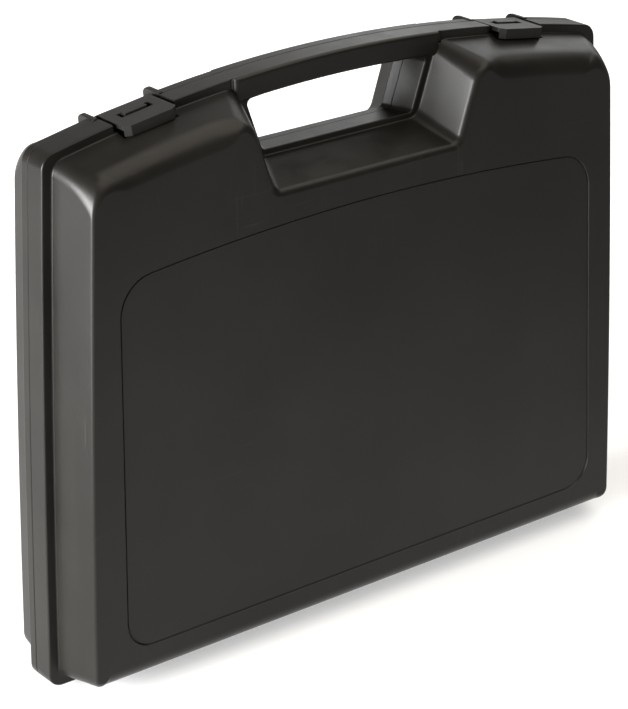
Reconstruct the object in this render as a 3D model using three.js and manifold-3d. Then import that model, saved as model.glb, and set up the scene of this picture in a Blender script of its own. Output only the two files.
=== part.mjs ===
// A slim moulded tool case that stands upright on its rim, with a removable tray inside.
// Millimetres, +Z up, front panel towards -Y, floor at Z = 0, parting plane at Y = 0.
import * as THREE from 'three';
import { mergeVertices } from 'three/addons/utils/BufferGeometryUtils.js';
import Module from 'manifold-3d';

const wasm = await Module();
wasm.setup();

// Driving dimensions of the closed case.
const FOOT_HEIGHT = 5;
const ARCH_TOP = 326.2;
const ARCH_RADIUS = 833;
const HALF_WIDTH = 199.8;
const SIDE_TAPER = 0.021;
const SIDE_RADIUS = 8300;
const RIM_BOTTOM = FOOT_HEIGHT;
const FRONT_RIM_Y = -13.2;
const FRONT_PANEL_Y = -42;
const SEAM_GAP = 0.4;
const BACK_RIM_Y = 6.4;
const BACK_PANEL_Y = 27.5;
const WALL = 2.4;
const GAP = 0.4;

// How far each body wall stands inside the rim, at the rim and at the panel.
const FRONT_AT_RIM = { side: 5.9, top: 5, bottom: 4 };
const FRONT_AT_PANEL = { side: 12.8, top: 13, bottom: 6.4 };
const BACK_AT_RIM = { side: 5.5, top: 5, bottom: 4 };
const BACK_AT_PANEL = { side: 8.6, top: 8, bottom: 6 };
const RIM_TOP_RADIUS = 9;
const RIM_BOTTOM_RADIUS = 8;
const PANEL_TOP_RADIUS = 24;
const PANEL_BOTTOM_RADIUS = 9;
const PANEL_EDGE_RADIUS = 2.5;

// Hand-hole through both rims, and the notch cut in both bodies around it.
const HOLE_BOTTOM_Z = 280.3;
const HOLE_SLANT = 0.34;
const HOLE_FRONT_HALF = 51.4;
const HOLE_BACK_HALF = 44.6;
const HOLE_RADIUS = 3;
const HANDLE_HEIGHT = 13.8;
const NOTCH_LEDGE = 3.2;
const NOTCH_FRONT_DROP = 10.4;
const NOTCH_FRONT_SPREAD = 8.5;
const NOTCH_BACK_DROP = 6;
const NOTCH_BACK_SPREAD = 5;
const NOTCH_RADIUS = 8;
const GRIP_HALF = 69.7;
const GRIP_PROUD = 2;

// Hinge along the bottom of the rims.
const HINGE = { y: 0.2, z: 3.6, knuckleRadius: 3, boreRadius: 1.4, pinRadius: 1.1 };
const HINGE_PLACES = { left: -112, middle: 0, right: 112 };
const KNUCKLE_LENGTH = 12;

// Latches, in a frame that lies on the arched rim top with its X along the arch.
const LATCH_X = 126.5;
const LATCH_HALF = 16.5;
const LATCH_FRONT_Y = -21;
const LATCH_BACK_Y = 5.8;
const LATCH_TOP = -0.5;
const PLATE_THICKNESS = 2.4;
const LIP_BOTTOM = -6.3;
const LIP_THICKNESS = 2.6;
const LATCH_CHAMFER = { x: 4.6, y: 3.6 };
const LATCH_SLOT = { half: 10, y0: -7.8, y1: -3 };
const LATCH_BAR = { half: 7.8, y0: -6.8, proud: 0.6 };
const LATCH_PIVOT = { y: 9.5, z: -6, barrelRadius: 2.6, boreRadius: 1.3, pinRadius: 1 };

// The pocket around a latch, the ears beside it, and the room inside the case below it.
const POCKET_HALF = 19;
const POCKET_WALL = 4.5;
const POCKET_FRONT_Y = LATCH_FRONT_Y + 1.5;
const POCKET_FLOOR = LIP_BOTTOM - 0.9;
const BACK_POCKET_FLOOR = -3.5;
const BARREL_ROOM = { before: 4, behind: 5, below: 3.2 };
const BACK_POCKET_END_Y = 18.5;
const ABOVE_RIM = 6;
const EAR_THICKNESS = 3;
const EAR = { backY: 16, top: 0.3, foot: -8, bendY: 12.5 };
const LATCH_ROOM = { margin: 6, depth: 22 };

// Tray: a bin with two fixed ribs, at the heights of TRAY_ROWS, and dividers between them.
const TRAY_CLEARANCE = 0.6;
const TRAY_WALL = 1.8;
const TRAY_RIM_Y = -9;
const TRAY_FLOOR_Y = FRONT_PANEL_Y + WALL + TRAY_CLEARANCE;
const TRAY_ROWS = [102, 186];
const RIB_TOP_Y = TRAY_RIM_Y - 3;
const RIB_REACH = 195;
const FINGER_NOTCH_RADIUS = 13;
const DIVIDER_THICKNESS = 2;
const DIVIDER_TOP_Y = TRAY_RIM_Y - 4;
const MIDDLE_ROW_DIVIDERS = [-108, -36, 36, 108];
const UPPER_ROW_DIVIDERS = [-91, 91];
const UPPER_DIVIDER_TOP = 292;

// Foam pad in the back shell.
const FOAM_FACE_Y = 13;
const FOAM_CLEARANCE = 1;

// Rubber feet under the rims: the outlines are (y, z) points.
const FOOT_X = 150;
const FOOT_LENGTH = 34;
const FOOT_UNDER_RIM = 4.7;
const FOOT_UNDER_BODY = 8.6;
const FRONT_FOOT_Y = { front: -20, step: -13.6, back: -1.5 };
const BACK_FOOT_Y = { front: 8, back: 18 };

// Larger than the case in every direction, for cutting planes and through-cuts.
const BEYOND = 340;

const sideX = (z) => {
  const rise = z - RIM_BOTTOM;
  return HALF_WIDTH - SIDE_TAPER * rise - rise * rise / (2 * SIDE_RADIUS);
};
const archZ = (x) => ARCH_TOP - x * x / (2 * ARCH_RADIUS);
const mix = (a, b, t) => a + (b - a) * t;
const mixInset = (a, b, t) => ({
  side: mix(a.side, b.side, t),
  top: mix(a.top, b.top, t),
  bottom: mix(a.bottom, b.bottom, t),
});
const grow = (inset, by) => ({ side: inset.side + by, top: inset.top + by, bottom: inset.bottom + by });

// ---------------------------------------------------------------- solids

const toSolid = (geometry) => {
  const bare = geometry.clone();
  bare.deleteAttribute('normal');
  bare.deleteAttribute('uv');
  const merged = mergeVertices(bare, 1e-4);
  const mesh = new wasm.Mesh({
    numProp: 3,
    vertProperties: new Float32Array(merged.attributes.position.array),
    triVerts: new Uint32Array(merged.index.array),
  });
  return new wasm.Manifold(mesh);
};

const toGeometry = (solid) => {
  const mesh = solid.getMesh();
  const geometry = new THREE.BufferGeometry();
  geometry.setAttribute('position', new THREE.BufferAttribute(mesh.vertProperties.slice(), 3));
  geometry.setIndex(new THREE.BufferAttribute(mesh.triVerts.slice(), 1));
  geometry.computeVertexNormals();
  return geometry;
};

const join = (first, ...rest) => rest.reduce((sum, next) => sum.add(next), first);
const cut = (first, ...rest) => rest.reduce((left, next) => left.subtract(next), first);

// A solid through rings of (x, z) points, each ring at its own y, all with the same count.
const loft = (rings) => {
  const count = rings[0].points.length;
  const positions = [];
  for (const ring of rings) {
    for (const point of ring.points) positions.push(point.x, ring.y, point.y);
  }
  const index = [];
  for (let r = 0; r + 1 < rings.length; r += 1) {
    for (let i = 0; i < count; i += 1) {
      const next = (i + 1) % count;
      const a = r * count + i;
      const b = r * count + next;
      index.push(a, b, b + count, a, b + count, a + count);
    }
  }
  const lastStart = (rings.length - 1) * count;
  for (const [a, b, c] of THREE.ShapeUtils.triangulateShape(rings[0].points, [])) {
    index.push(a, c, b);
  }
  for (const [a, b, c] of THREE.ShapeUtils.triangulateShape(rings.at(-1).points, [])) {
    index.push(lastStart + a, lastStart + b, lastStart + c);
  }
  if (rings.at(-1).y > rings[0].y) index.reverse();
  const geometry = new THREE.BufferGeometry();
  geometry.setAttribute('position', new THREE.Float32BufferAttribute(positions, 3));
  geometry.setIndex(index);
  return toSolid(geometry);
};

const box = (x0, x1, y0, y1, z0, z1) => {
  const geometry = new THREE.BoxGeometry(x1 - x0, y1 - y0, z1 - z0);
  geometry.translate((x0 + x1) / 2, (y0 + y1) / 2, (z0 + z1) / 2);
  return toSolid(geometry);
};

// A round bar along X.
const barX = (x0, x1, y, z, radius, segments = 20) => {
  const geometry = new THREE.CylinderGeometry(radius, radius, x1 - x0, segments);
  geometry.rotateZ(-Math.PI / 2);
  geometry.translate((x0 + x1) / 2, y, z);
  return toSolid(geometry);
};

// A flat outline of (y, z) points made into a plate between x0 and x1.
const plateX = (x0, x1, points) => {
  const shape = new THREE.Shape(points.map(([y, z]) => new THREE.Vector2(y, z)));
  const geometry = new THREE.ExtrudeGeometry(shape, { depth: x1 - x0, bevelEnabled: false });
  const turn = new THREE.Matrix4().makeBasis(
    new THREE.Vector3(0, 1, 0), new THREE.Vector3(0, 0, 1), new THREE.Vector3(1, 0, 0));
  geometry.applyMatrix4(turn);
  geometry.translate(x0, 0, 0);
  return toSolid(geometry);
};

// ---------------------------------------------------------------- outlines

// The points of a round corner at the meeting of two straight directions.
const roundCorner = (corner, into, out, radius, steps) => {
  const turn = Math.acos(THREE.MathUtils.clamp(into.dot(out), -1, 1));
  const side = Math.sign(into.x * out.y - into.y * out.x);
  const start = corner.clone().addScaledVector(into, -radius * Math.tan(turn / 2));
  const centre = start.clone().add(new THREE.Vector2(-into.y, into.x).multiplyScalar(side * radius));
  const points = [];
  for (let i = 0; i <= steps; i += 1) {
    points.push(start.clone().rotateAround(centre, side * turn * i / steps));
  }
  return points;
};

// The case outline, set in from the rim by inset, counter-clockwise in (x, z).
const caseOutline = (inset, topRadius, bottomRadius) => {
  const bottomZ = RIM_BOTTOM + inset.bottom;
  let topX = sideX(ARCH_TOP) - inset.side;
  for (let i = 0; i < 6; i += 1) topX = sideX(archZ(topX) - inset.top) - inset.side;
  const topZ = archZ(topX) - inset.top;
  const bottomCorner = new THREE.Vector2(sideX(bottomZ) - inset.side, bottomZ);
  const topCorner = new THREE.Vector2(topX, topZ);
  const up = (z) => new THREE.Vector2(sideX(z + 1) - sideX(z), 1).normalize();
  const inward = new THREE.Vector2(-1, topX / ARCH_RADIUS).normalize();
  const lower = roundCorner(bottomCorner, new THREE.Vector2(1, 0), up(bottomZ), bottomRadius, 5);
  const upper = roundCorner(topCorner, up(topZ), inward, topRadius, 6);
  const right = [...lower];
  const sideSteps = 5;
  for (let i = 1; i < sideSteps; i += 1) {
    const z = mix(lower.at(-1).y, upper[0].y, i / sideSteps);
    right.push(new THREE.Vector2(sideX(z) - inset.side, z));
  }
  right.push(...upper);
  const archSteps = 9;
  for (let i = 1; i < archSteps; i += 1) {
    const x = mix(upper.at(-1).x, 0, i / archSteps);
    right.push(new THREE.Vector2(x, archZ(x) - inset.top));
  }
  const left = right.map((p) => new THREE.Vector2(-p.x, p.y)).reverse();
  return [...right, new THREE.Vector2(0, ARCH_TOP - inset.top), ...left];
};

// The slanted opening for the hand: half is its half-width at height bottomZ, open above topZ.
const handOutline = (half, bottomZ, radius, topAt) => {
  const slant = new THREE.Vector2(HOLE_SLANT, 1).normalize();
  const corner = new THREE.Vector2(half, bottomZ);
  const right = roundCorner(corner, new THREE.Vector2(1, 0), slant, radius, 4);
  const topX = half + HOLE_SLANT * (topAt(half) - bottomZ);
  const upper = roundCorner(new THREE.Vector2(topX, topAt(topX)), slant, new THREE.Vector2(-1, 0), radius, 4);
  right.push(...upper);
  const steps = 5;
  for (let i = 1; i < steps; i += 1) {
    const x = mix(upper.at(-1).x, 0, i / steps);
    right.push(new THREE.Vector2(x, topAt(x)));
  }
  const left = right.map((p) => new THREE.Vector2(-p.x, p.y)).reverse();
  return [...right, new THREE.Vector2(0, topAt(0)), ...left];
};

// ---------------------------------------------------------------- case bodies

const rimSolid = (y0, y1, by = 0) => {
  const inset = grow({ side: 0, top: 0, bottom: 0 }, by);
  const points = caseOutline(inset, RIM_TOP_RADIUS - Math.min(by, 4), RIM_BOTTOM_RADIUS - Math.min(by, 4));
  return loft([{ y: y0, points }, { y: y1, points }]);
};

// One half's body from the rim plane to its panel, set in by extra, with a rounded panel edge.
const bodySolid = (half, extra) => {
  const sign = Math.sign(half.panelY);
  const panelY = half.panelY - sign * extra;
  const edge = Math.max(PANEL_EDGE_RADIUS - extra, 1);
  const rings = [];
  const addRing = (y, pull) => {
    const t = (y - half.rimY) / (half.panelY - half.rimY);
    const inset = grow(mixInset(half.atRim, half.atPanel, t), extra + pull);
    const topRadius = mix(RIM_TOP_RADIUS, PANEL_TOP_RADIUS, THREE.MathUtils.clamp(t, 0, 1));
    const bottomRadius = mix(RIM_BOTTOM_RADIUS, PANEL_BOTTOM_RADIUS, THREE.MathUtils.clamp(t, 0, 1));
    rings.push({ y, points: caseOutline(inset, Math.max(topRadius - extra - pull, 2),
      Math.max(bottomRadius - extra - pull, 2)) });
  };
  addRing(half.startY, 0);
  const steps = 3;
  for (let i = 0; i <= steps; i += 1) {
    const angle = (Math.PI / 2) * i / steps;
    addRing(panelY - sign * edge * (1 - Math.sin(angle)), edge * (1 - Math.cos(angle)));
  }
  return loft(rings);
};

// The notch around the hand-hole, widening towards the panel, grown outward by extra.
const notchSolid = (half, extra) => {
  const beyond = half.panelY + Math.sign(half.panelY) * 4;
  const ring = (y) => {
    const t = (y - half.rimY) / (half.panelY - half.rimY);
    const halfWidth = half.holeHalf + NOTCH_LEDGE + half.notchSpread * t + extra;
    const bottomZ = HOLE_BOTTOM_Z - NOTCH_LEDGE - half.notchDrop * t - extra;
    return { y, points: handOutline(halfWidth, bottomZ, NOTCH_RADIUS + extra, () => ARCH_TOP + 12) };
  };
  return loft([ring(half.rimY - Math.sign(half.panelY) * extra), ring(beyond)]);
};

// The hand-hole through both rims, grown outward by extra.
const holeSolid = (extra) => {
  const ring = (y) => {
    const t = (y - FRONT_RIM_Y) / (BACK_RIM_Y - FRONT_RIM_Y);
    const half = mix(HOLE_FRONT_HALF, HOLE_BACK_HALF, t) + extra;
    const topAt = (x) => archZ(x) - HANDLE_HEIGHT + extra;
    return { y, points: handOutline(half, HOLE_BOTTOM_Z - extra, HOLE_RADIUS + extra, topAt) };
  };
  return loft([ring(FRONT_RIM_Y - 6), ring(BACK_RIM_Y + 6)]);
};

// The grip: the middle of the handle bar, a little proud of the rim face.
const gripSolid = (y0, faceY) => {
  const ring = (y, pull) => {
    const steps = 8;
    const upper = [];
    const lower = [];
    for (let i = 0; i <= steps; i += 1) {
      const x = mix(GRIP_HALF - pull, -GRIP_HALF + pull, i / steps);
      upper.push(new THREE.Vector2(x, archZ(x) - pull));
      lower.unshift(new THREE.Vector2(x, archZ(x) - HANDLE_HEIGHT + pull));
    }
    return { y, points: [...upper, ...lower] };
  };
  const shoulder = faceY - Math.sign(faceY) * GRIP_PROUD;
  return loft([ring(y0, 0), ring(shoulder, 0), ring(faceY, GRIP_PROUD)]);
};

const FRONT_HALF = {
  rimY: FRONT_RIM_Y, panelY: FRONT_PANEL_Y, startY: 0, atRim: FRONT_AT_RIM, atPanel: FRONT_AT_PANEL,
  holeHalf: HOLE_FRONT_HALF, notchSpread: NOTCH_FRONT_SPREAD, notchDrop: NOTCH_FRONT_DROP,
};
const BACK_HALF = {
  rimY: BACK_RIM_Y, panelY: BACK_PANEL_Y, startY: SEAM_GAP, atRim: BACK_AT_RIM, atPanel: BACK_AT_PANEL,
  holeHalf: HOLE_BACK_HALF, notchSpread: NOTCH_BACK_SPREAD, notchDrop: NOTCH_BACK_DROP,
};

// ---------------------------------------------------------------- latch places

const latchMatrix = (side) => {
  const x = side * LATCH_X;
  const tilt = Math.atan(x / ARCH_RADIUS);
  return new THREE.Matrix4().makeRotationY(tilt).setPosition(x, 0, archZ(x));
};
const onRim = (solid, side) => solid.transform(latchMatrix(side).elements);

// Room that the closed latch and its backward sweep need in the front rim.
const frontPocket = () => box(-POCKET_HALF, POCKET_HALF, POCKET_FRONT_Y, 1, POCKET_FLOOR, ABOVE_RIM);
// Room for the plate and the pivot barrel in the back rim and body.
const backPocket = () => {
  const { before, behind, below } = BARREL_ROOM;
  const { y, z } = LATCH_PIVOT;
  return join(
    box(-POCKET_HALF, POCKET_HALF, -1, BACK_RIM_Y, BACK_POCKET_FLOOR, ABOVE_RIM),
    box(-POCKET_HALF, POCKET_HALF, y - before, y + behind, z - below, ABOVE_RIM),
  );
};
// The material that a shell keeps around a pocket, down to a height below the rim top.
const pocketWalls = (y0, y1, floor) => {
  const half = POCKET_HALF + POCKET_WALL;
  return box(-half, half, y0, y1, floor - WALL, ABOVE_RIM + 2);
};

// One ear beside a latch, its back end rounded off by three short edges.
const earSolid = (side) => {
  const outer = side * (POCKET_HALF + EAR_THICKNESS);
  const inner = side * POCKET_HALF;
  const points = [
    [SEAM_GAP, EAR.foot], [SEAM_GAP, EAR.top], [EAR.bendY, EAR.top],
    [EAR.bendY + 2.1, EAR.top - 0.9], [EAR.backY - 0.3, EAR.top - 2.5],
    [EAR.backY, EAR.top - 4.3], [EAR.backY, EAR.foot],
  ];
  return plateX(Math.min(outer, inner), Math.max(outer, inner), points);
};
const latchBore = () => barX(-POCKET_HALF - EAR_THICKNESS - 2, POCKET_HALF + EAR_THICKNESS + 2,
  LATCH_PIVOT.y, LATCH_PIVOT.z, LATCH_PIVOT.boreRadius, 16);

// ---------------------------------------------------------------- hinge

const knuckleSpans = (owner, x) => {
  const half = KNUCKLE_LENGTH / 2;
  if (owner === 'front') return [[x - half, x + half]];
  const near = half + GAP;
  return [[x - near - KNUCKLE_LENGTH, x - near], [x + near, x + near + KNUCKLE_LENGTH]];
};

const hingeKnuckles = (owner) => {
  const away = owner === 'front' ? -1 : 1;
  const solids = [];
  for (const x of Object.values(HINGE_PLACES)) {
    for (const [x0, x1] of knuckleSpans(owner, x)) {
      const foot = [HINGE.y, HINGE.y + away * 5.5].sort((a, b) => a - b);
      solids.push(barX(x0, x1, HINGE.y, HINGE.z, HINGE.knuckleRadius));
      solids.push(box(x0, x1, foot[0], foot[1], HINGE.z - 1, RIM_BOTTOM + 1));
    }
  }
  return join(...solids);
};

const hingeRelief = (owner) => {
  const other = owner === 'front' ? 'back' : 'front';
  const solids = [];
  for (const x of Object.values(HINGE_PLACES)) {
    for (const [x0, x1] of knuckleSpans(other, x)) {
      solids.push(barX(x0 - GAP, x1 + GAP, HINGE.y, HINGE.z, HINGE.knuckleRadius + GAP));
    }
    const reach = KNUCKLE_LENGTH * 1.5 + GAP + 6;
    solids.push(barX(x - reach, x + reach, HINGE.y, HINGE.z, HINGE.boreRadius, 16));
  }
  return join(...solids);
};

// ---------------------------------------------------------------- sub-parts

const frontShell = () => {
  let outer = join(rimSolid(FRONT_RIM_Y, 0), bodySolid(FRONT_HALF, 0));
  outer = cut(outer, notchSolid(FRONT_HALF, 0));
  outer = join(outer, gripSolid(0, FRONT_RIM_Y - GRIP_PROUD));
  const cavityBody = cut(
    bodySolid({ ...FRONT_HALF, startY: 2 }, WALL), notchSolid(FRONT_HALF, WALL), holeSolid(WALL));
  const cavityRim = cut(rimSolid(FRONT_RIM_Y + WALL, 2, WALL), holeSolid(WALL));
  let cavity = join(cavityBody, cavityRim);
  for (const side of [-1, 1]) {
    cavity = cut(cavity, onRim(pocketWalls(POCKET_FRONT_Y - POCKET_WALL, 3, POCKET_FLOOR), side));
  }
  outer = cut(outer, cavity, holeSolid(0));
  for (const side of [-1, 1]) outer = cut(outer, onRim(frontPocket(), side));
  return cut(join(outer, hingeKnuckles('front')), hingeRelief('front'));
};

const backShell = () => {
  let outer = join(rimSolid(SEAM_GAP, BACK_RIM_Y), bodySolid(BACK_HALF, 0));
  outer = cut(outer, notchSolid(BACK_HALF, 0));
  outer = join(outer, gripSolid(SEAM_GAP, BACK_RIM_Y + GRIP_PROUD));
  const cavityBody = cut(
    bodySolid({ ...BACK_HALF, startY: -2 }, WALL), notchSolid(BACK_HALF, WALL), holeSolid(WALL));
  const cavityRim = cut(rimSolid(-2, BACK_RIM_Y - WALL, WALL), holeSolid(WALL));
  let cavity = join(cavityBody, cavityRim);
  for (const side of [-1, 1]) {
    const floor = LATCH_PIVOT.z - BARREL_ROOM.below;
    cavity = cut(cavity, onRim(pocketWalls(-3, BACK_POCKET_END_Y, floor), side));
  }
  outer = cut(outer, cavity, holeSolid(0));
  for (const side of [-1, 1]) {
    outer = join(outer, onRim(earSolid(-1), side), onRim(earSolid(1), side));
    outer = cut(outer, onRim(backPocket(), side), onRim(latchBore(), side));
  }
  return cut(join(outer, hingeKnuckles('back')), hingeRelief('back'));
};

// A corner piece that chamfers one front corner of a latch's plate.
const latchChamfer = (side) => {
  const corner = new THREE.Shape();
  corner.moveTo(side * (LATCH_HALF - LATCH_CHAMFER.x), LATCH_FRONT_Y - 1);
  corner.lineTo(side * (LATCH_HALF + 1), LATCH_FRONT_Y - 1);
  corner.lineTo(side * (LATCH_HALF + 1), LATCH_FRONT_Y + LATCH_CHAMFER.y);
  const wedge = new THREE.ExtrudeGeometry(corner, { depth: 12, bevelEnabled: false });
  wedge.translate(0, 0, -9);
  return toSolid(wedge);
};

// The latch: a plate with a lip at its front, a slot with a raised bar, and a barrel at its pivot.
const latchSolid = () => {
  const underside = LATCH_TOP - PLATE_THICKNESS;
  const { y, z, barrelRadius } = LATCH_PIVOT;
  const lipBack = LATCH_FRONT_Y + LIP_THICKNESS;
  const outline = [
    [LATCH_FRONT_Y, LIP_BOTTOM], [LATCH_FRONT_Y, LATCH_TOP - 0.5], [LATCH_FRONT_Y + 0.5, LATCH_TOP],
    [LATCH_BACK_Y - 0.4, LATCH_TOP], [LATCH_BACK_Y + 0.6, LATCH_TOP - 0.6],
    [y + 0.8, z + barrelRadius - 0.2], [y, z - 1], [y - 2, z],
    [y - 3.2, underside], [lipBack, underside], [lipBack, LIP_BOTTOM],
  ].reverse();
  const barrelHalf = POCKET_HALF - GAP;
  let latch = plateX(-LATCH_HALF, LATCH_HALF, outline);
  latch = join(latch, barX(-barrelHalf, barrelHalf, y, z, barrelRadius));
  latch = cut(latch, latchChamfer(-1), latchChamfer(1));
  const slot = LATCH_SLOT;
  const bar = LATCH_BAR;
  latch = cut(latch, box(-slot.half, slot.half, slot.y0, slot.y1, underside - 1, LATCH_TOP + 1));
  latch = join(latch, box(-bar.half, bar.half, bar.y0, slot.y1 + 0.5, underside, LATCH_TOP + bar.proud));
  return cut(latch, barX(-POCKET_HALF, POCKET_HALF, y, z, LATCH_PIVOT.boreRadius, 16));
};

const latchPin = () => barX(-POCKET_HALF - EAR_THICKNESS + 0.3, POCKET_HALF + EAR_THICKNESS - 0.3,
  LATCH_PIVOT.y, LATCH_PIVOT.z, LATCH_PIVOT.pinRadius, 16);

const hingePin = (x) => {
  const half = KNUCKLE_LENGTH * 1.5 + GAP;
  return barX(x - half, x + half, HINGE.y, HINGE.z, HINGE.pinRadius, 16);
};

// What the tray and the foam leave free below the latch pockets.
const latchRoom = (side, extra) => {
  const half = POCKET_HALF + LATCH_ROOM.margin + extra;
  return onRim(box(-half, half, -60, 60, -LATCH_ROOM.depth - extra, 20), side);
};

// The scoop in the middle of a tray rib, for a fingertip.
const fingerNotch = (z) => {
  const geometry = new THREE.CylinderGeometry(FINGER_NOTCH_RADIUS, FINGER_NOTCH_RADIUS, 3 * TRAY_WALL, 28);
  geometry.rotateX(Math.PI / 2);
  geometry.translate(0, RIB_TOP_Y, z);
  return toSolid(geometry);
};

// The space that the tray takes up, set in by extra from its outer faces.
const trayWalls = (extra) => {
  const inset = WALL + TRAY_CLEARANCE + extra;
  const body = bodySolid({ ...FRONT_HALF, startY: 2 }, inset);
  const handRoom = join(notchSolid(FRONT_HALF, inset), holeSolid(inset));
  return cut(body, handRoom, latchRoom(-1, extra), latchRoom(1, extra));
};

// The tray: a bin that follows the front shell's inside, with its ribs.
const traySolid = () => {
  const slab = box(-BEYOND, BEYOND, -BEYOND, TRAY_RIM_Y, -BEYOND, BEYOND);
  const tray = cut(trayWalls(0).intersect(slab), trayWalls(TRAY_WALL));
  const ribFoot = TRAY_FLOOR_Y + TRAY_WALL / 2;
  const ribs = [];
  for (const z of TRAY_ROWS) {
    const rib = box(-RIB_REACH, RIB_REACH, ribFoot, RIB_TOP_Y, z - TRAY_WALL / 2, z + TRAY_WALL / 2);
    ribs.push(cut(rib, fingerNotch(z)));
  }
  return join(tray, join(...ribs).intersect(trayWalls(TRAY_WALL / 2)));
};

// A divider across one row, from the rib or wall below it to the one above it.
const dividerSolid = (x, z0, z1) => {
  const half = DIVIDER_THICKNESS / 2;
  const play = TRAY_WALL / 2 + GAP;
  return box(x - half, x + half, TRAY_FLOOR_Y + TRAY_WALL + GAP, DIVIDER_TOP_Y, z0 + play, z1 - play);
};

// The foam pad: a slab that fills the back shell's body.
const foamSolid = () => {
  const inset = WALL + FOAM_CLEARANCE;
  const body = bodySolid({ ...BACK_HALF, startY: 2 }, inset);
  const handRoom = join(notchSolid(BACK_HALF, inset), holeSolid(inset));
  const slab = box(-BEYOND, BEYOND, FOAM_FACE_Y, BEYOND, -BEYOND, BEYOND);
  return cut(body, handRoom, latchRoom(-1, 0), latchRoom(1, 0)).intersect(slab);
};

// A front foot has a step, because the rim above it reaches lower than the body.
const frontFoot = (side) => {
  const x0 = side * FOOT_X - FOOT_LENGTH / 2;
  const { front, step, back } = FRONT_FOOT_Y;
  return plateX(x0, x0 + FOOT_LENGTH, [
    [front, 0], [back, 0], [back, FOOT_UNDER_RIM],
    [step, FOOT_UNDER_RIM], [step, FOOT_UNDER_BODY], [front, FOOT_UNDER_BODY],
  ]);
};
const backFoot = (side) => {
  const x0 = side * FOOT_X - FOOT_LENGTH / 2;
  return box(x0, x0 + FOOT_LENGTH, BACK_FOOT_Y.front, BACK_FOOT_Y.back, 0, FOOT_UNDER_BODY);
};

// ---------------------------------------------------------------- scene graph

const material = (color, roughness, metalness = 0) =>
  new THREE.MeshStandardMaterial({ color, roughness, metalness });
const BLACK_SHELL = material(0x2b2926, 0.5);
const BLACK_LATCH = material(0x2e2c2a, 0.45);
const STEEL = material(0xb8babc, 0.3, 1);
const TRAY_GREY = material(0x3c3d3f, 0.55);
const DIVIDER_GREY = material(0x505254, 0.55);
const FOAM_GREY = material(0x3a3a3c, 0.95);
const RUBBER = material(0x1c1c1c, 0.85);

// The group's origin is on the floor, below the middle of the case's depth.
const group = new THREE.Group();
group.position.y = -(FRONT_PANEL_Y + BACK_PANEL_Y) / 2;
const place = (name, solid, look) => {
  const mesh = new THREE.Mesh(toGeometry(solid), look.clone());
  mesh.name = name;
  group.add(mesh);
};

place('front_shell', frontShell(), BLACK_SHELL);
place('back_shell', backShell(), BLACK_SHELL);
for (const [name, x] of Object.entries(HINGE_PLACES)) place(`hinge_pin_${name}`, hingePin(x), STEEL);
for (const [name, side] of [['left', -1], ['right', 1]]) {
  place(`latch_${name}`, onRim(latchSolid(), side), BLACK_LATCH);
  place(`latch_pin_${name}`, onRim(latchPin(), side), STEEL);
  place(`foot_front_${name}`, frontFoot(side), RUBBER);
  place(`foot_back_${name}`, backFoot(side), RUBBER);
}
place('tray', traySolid(), TRAY_GREY);
MIDDLE_ROW_DIVIDERS.forEach((x, i) =>
  place(`tray_divider_middle_${i + 1}`, dividerSolid(x, TRAY_ROWS[0], TRAY_ROWS[1]), DIVIDER_GREY));
UPPER_ROW_DIVIDERS.forEach((x, i) =>
  place(`tray_divider_upper_${i + 1}`, dividerSolid(x, TRAY_ROWS[1], UPPER_DIVIDER_TOP), DIVIDER_GREY));
place('lid_foam_pad', foamSolid(), FOAM_GREY);

export default group;
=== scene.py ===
"""A slim moulded tool case with a tray: fine shells, latches, tray, dividers, foam pad, feet and pins."""
import math

import bmesh
import bpy
import numpy as np
from mathutils import Matrix, Vector


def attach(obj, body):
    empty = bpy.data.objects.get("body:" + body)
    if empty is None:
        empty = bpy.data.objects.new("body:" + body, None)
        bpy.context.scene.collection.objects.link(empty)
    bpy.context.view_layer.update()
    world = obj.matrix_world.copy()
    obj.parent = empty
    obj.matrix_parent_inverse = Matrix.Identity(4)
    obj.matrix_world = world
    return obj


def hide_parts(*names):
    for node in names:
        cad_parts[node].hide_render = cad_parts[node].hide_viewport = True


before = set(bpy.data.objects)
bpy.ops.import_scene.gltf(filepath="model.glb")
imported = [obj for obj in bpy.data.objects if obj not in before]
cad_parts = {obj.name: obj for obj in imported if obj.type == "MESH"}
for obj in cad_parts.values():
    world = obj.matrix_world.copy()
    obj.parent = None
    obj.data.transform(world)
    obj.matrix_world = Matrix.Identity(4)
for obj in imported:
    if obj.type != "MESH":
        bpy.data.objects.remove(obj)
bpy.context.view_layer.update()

# All shapes are made in millimetres with the parting plane at y = 0, and then moved into the frame.
MM = 0.001
Y_SHIFT = 7.25

# Driving dimensions, the same as the CAD model's.
ARCH_TOP = 326.2
ARCH_RADIUS = 833
HALF_WIDTH = 199.8
SIDE_TAPER = 0.021
SIDE_RADIUS = 8300
RIM_BOTTOM = 5
FRONT_RIM_Y = -13.2
FRONT_PANEL_Y = -42
LABEL_DEPTH = 0.5
LABEL_GROOVE = 1.0
LABEL_GROOVE_WIDTH = 0.45
SEAM_GAP = 0.4
BACK_RIM_Y = 6.4
BACK_PANEL_Y = 27.5
WALL = 2.4
GAP = 0.4
RIM_TOP_RADIUS = 9
RIM_BOTTOM_RADIUS = 8
PANEL_TOP_RADIUS = 24
PANEL_BOTTOM_RADIUS = 9
HOLE_BOTTOM_Z = 280.3
HOLE_SLANT = 0.34
HOLE_FRONT_HALF = 51.4
HOLE_BACK_HALF = 44.6
HOLE_RADIUS = 3
HANDLE_HEIGHT = 13.8
NOTCH_LEDGE = 3.2
NOTCH_RADIUS = 8
GRIP_HALF = 69.7
GRIP_PROUD = 2
FRONT = {
    "away": -1, "rim_y": FRONT_RIM_Y, "panel_y": FRONT_PANEL_Y, "start_y": 0,
    "rim_inset": (5.9, 5, 4), "panel_inset": (12.8, 13, 6.4),
    "hole_half": HOLE_FRONT_HALF, "notch_spread": 8.5, "notch_drop": 10.4,
}
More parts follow.
